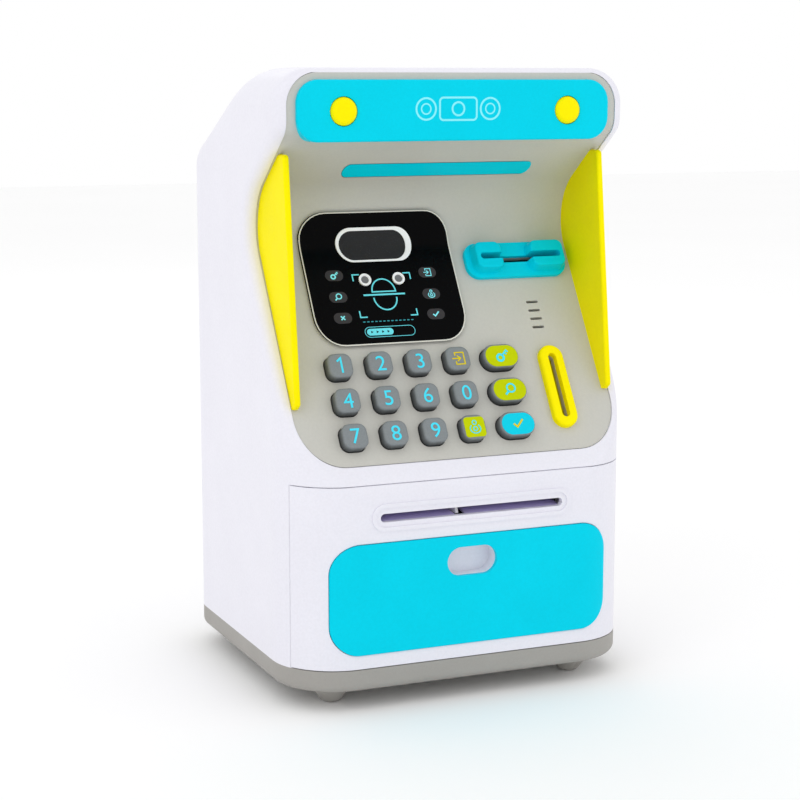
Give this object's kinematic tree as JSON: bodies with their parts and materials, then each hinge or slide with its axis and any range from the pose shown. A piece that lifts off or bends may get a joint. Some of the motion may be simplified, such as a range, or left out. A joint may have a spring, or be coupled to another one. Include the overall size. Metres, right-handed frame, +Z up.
{
  "type": "toy savings bank",
  "caption": "Toy cash-machine savings bank: sloping keypad front under a canopy, coin and note slots, hinged cash door, four feet.",
  "frame": {"origin": "on the ground under the centre of the bank's overall box; the feet stand on Z = 0", "axes": "+X to the right seen from the front, +Y to the back, +Z up; the front faces -Y"},
  "size_m": [0.16, 0.14, 0.265],
  "materials": {
    "white_shell": "satin moulded ABS",
    "grey_base": "satin moulded ABS",
    "grey_fascia": "satin moulded ABS",
    "turquoise_plastic": "gloss moulded ABS",
    "yellow_plastic": "gloss moulded ABS",
    "black_lens": "gloss acrylic lens, printed behind",
    "dark_window": "smoked acrylic",
    "white_ink": "gloss ring",
    "key_rubber": "soft grey key",
    "roller_rubber": "matt rubber on a steel shaft",
    "inner_plastic": "plain moulded ABS",
    "black_plastic": "matt black ABS",
    "circuit_board": "green solder mask",
    "plated_steel": "bright plated steel"
  },
  "bodies": {
    "case": {"shell": "white_shell", "base": "grey_base", "foot_front_left": "grey_base", "foot_front_right": "grey_base", "foot_rear_left": "grey_base", "foot_rear_right": "grey_base", "battery_box": "grey_base", "battery_cover": "grey_base", "battery_contacts": "plated_steel", "case_screws": "plated_steel", "fascia": "grey_fascia", "light_strip": "turquoise_plastic", "sign_board": "turquoise_plastic", "lamp_left": "yellow_plastic", "lamp_right": "yellow_plastic", "face_panel": "black_lens", "camera_ring": "white_ink", "camera_window": "dark_window", "sensor_left": "white_ink", "sensor_right": "white_ink", "wing_left": "yellow_plastic", "wing_right": "yellow_plastic", "key_mat": "key_rubber", "key_board": "circuit_board", "card_reader": "turquoise_plastic", "coin_bezel": "yellow_plastic", "coin_chute": "yellow_plastic", "speaker": "black_plastic", "deck": "inner_plastic", "main_board": "circuit_board", "feed_frame": "inner_plastic", "feed_motor": "black_plastic", "hinge_pin": "plated_steel", "latch_solenoid": "plated_steel", "switch_body": "black_plastic"},
    "door": {"door": "white_shell", "door_panel": "turquoise_plastic", "door_catch": "plated_steel"},
    "drive_roller": {"drive_roller": "roller_rubber"},
    "idler_roller": {"idler_roller": "roller_rubber"},
    "latch_bolt": {"latch_bolt": "plated_steel"},
    "power_switch": {"power_switch": "black_plastic"},
    "key_7": {"key_7": "key_rubber"},
    "key_8": {"key_8": "key_rubber"},
    "key_9": {"key_9": "key_rubber"},
    "key_money": {"key_money": "key_rubber"},
    "key_4": {"key_4": "key_rubber"},
    "key_5": {"key_5": "key_rubber"},
    "key_6": {"key_6": "key_rubber"},
    "key_0": {"key_0": "key_rubber"},
    "key_1": {"key_1": "key_rubber"},
    "key_2": {"key_2": "key_rubber"},
    "key_3": {"key_3": "key_rubber"},
    "key_exit": {"key_exit": "key_rubber"},
    "key_confirm": {"key_confirm": "key_rubber"},
    "key_search": {"key_search": "key_rubber"},
    "key_unlock": {"key_unlock": "key_rubber"}
  },
  "joints": [
    {"name": "door_hinge", "type": "hinge", "parent": "case", "child": "door", "pos_m": [-0.073, -0.042, 0.058], "axis": [0, 0, -1], "range_deg": [0, 90]},
    {"name": "key_7_press", "type": "slide", "parent": "case", "child": "key_7", "axis": [0, 0.8533, -0.5215], "range_m": [0, 0.0015], "stiffness_N_per_m": 600, "springref_m": -0.0008},
    {"name": "key_8_press", "type": "slide", "parent": "case", "child": "key_8", "axis": [0, 0.8533, -0.5215], "range_m": [0, 0.0015], "stiffness_N_per_m": 600, "springref_m": -0.0008},
    {"name": "key_9_press", "type": "slide", "parent": "case", "child": "key_9", "axis": [0, 0.8533, -0.5215], "range_m": [0, 0.0015], "stiffness_N_per_m": 600, "springref_m": -0.0008},
    {"name": "key_money_press", "type": "slide", "parent": "case", "child": "key_money", "axis": [0, 0.8533, -0.5215], "range_m": [0, 0.0015], "stiffness_N_per_m": 600, "springref_m": -0.0008},
    {"name": "key_4_press", "type": "slide", "parent": "case", "child": "key_4", "axis": [0, 0.8533, -0.5215], "range_m": [0, 0.0015], "stiffness_N_per_m": 600, "springref_m": -0.0008},
    {"name": "key_5_press", "type": "slide", "parent": "case", "child": "key_5", "axis": [0, 0.8533, -0.5215], "range_m": [0, 0.0015], "stiffness_N_per_m": 600, "springref_m": -0.0008},
    {"name": "key_6_press", "type": "slide", "parent": "case", "child": "key_6", "axis": [0, 0.8533, -0.5215], "range_m": [0, 0.0015], "stiffness_N_per_m": 600, "springref_m": -0.0008},
    {"name": "key_0_press", "type": "slide", "parent": "case", "child": "key_0", "axis": [0, 0.8533, -0.5215], "range_m": [0, 0.0015], "stiffness_N_per_m": 600, "springref_m": -0.0008},
    {"name": "key_1_press", "type": "slide", "parent": "case", "child": "key_1", "axis": [0, 0.8533, -0.5215], "range_m": [0, 0.0015], "stiffness_N_per_m": 600, "springref_m": -0.0008},
    {"name": "key_2_press", "type": "slide", "parent": "case", "child": "key_2", "axis": [0, 0.8533, -0.5215], "range_m": [0, 0.0015], "stiffness_N_per_m": 600, "springref_m": -0.0008},
    {"name": "key_3_press", "type": "slide", "parent": "case", "child": "key_3", "axis": [0, 0.8533, -0.5215], "range_m": [0, 0.0015], "stiffness_N_per_m": 600, "springref_m": -0.0008},
    {"name": "key_exit_press", "type": "slide", "parent": "case", "child": "key_exit", "axis": [0, 0.8533, -0.5215], "range_m": [0, 0.0015], "stiffness_N_per_m": 600, "springref_m": -0.0008},
    {"name": "key_confirm_press", "type": "slide", "parent": "case", "child": "key_confirm", "axis": [0, 0.8533, -0.5215], "range_m": [0, 0.0015], "stiffness_N_per_m": 600, "springref_m": -0.0008},
    {"name": "key_search_press", "type": "slide", "parent": "case", "child": "key_search", "axis": [0, 0.8533, -0.5215], "range_m": [0, 0.0015], "stiffness_N_per_m": 600, "springref_m": -0.0008},
    {"name": "key_unlock_press", "type": "slide", "parent": "case", "child": "key_unlock", "axis": [0, 0.8533, -0.5215], "range_m": [0, 0.0015], "stiffness_N_per_m": 600, "springref_m": -0.0008},
    {"name": "drive_roller_spin", "type": "hinge", "parent": "case", "child": "drive_roller", "pos_m": [0, -0.05, 0.07555], "axis": [1, 0, 0], "continuous": true},
    {"name": "idler_roller_spin", "type": "hinge", "parent": "case", "child": "idler_roller", "pos_m": [0, -0.05, 0.08685], "axis": [1, 0, 0], "continuous": true},
    {"name": "latch_throw", "type": "slide", "parent": "case", "child": "latch_bolt", "axis": [0, 0, -1], "range_m": [0, 0.005], "stiffness_N_per_m": 60, "springref_m": -0.002},
    {"name": "power_slide", "type": "slide", "parent": "case", "child": "power_switch", "axis": [1, 0, 0], "range_m": [0, 0.004]}
  ],
  "couplings": [
    {"joint": "idler_roller_spin", "follows": "drive_roller_spin", "ratio": -1.2}
  ]
}
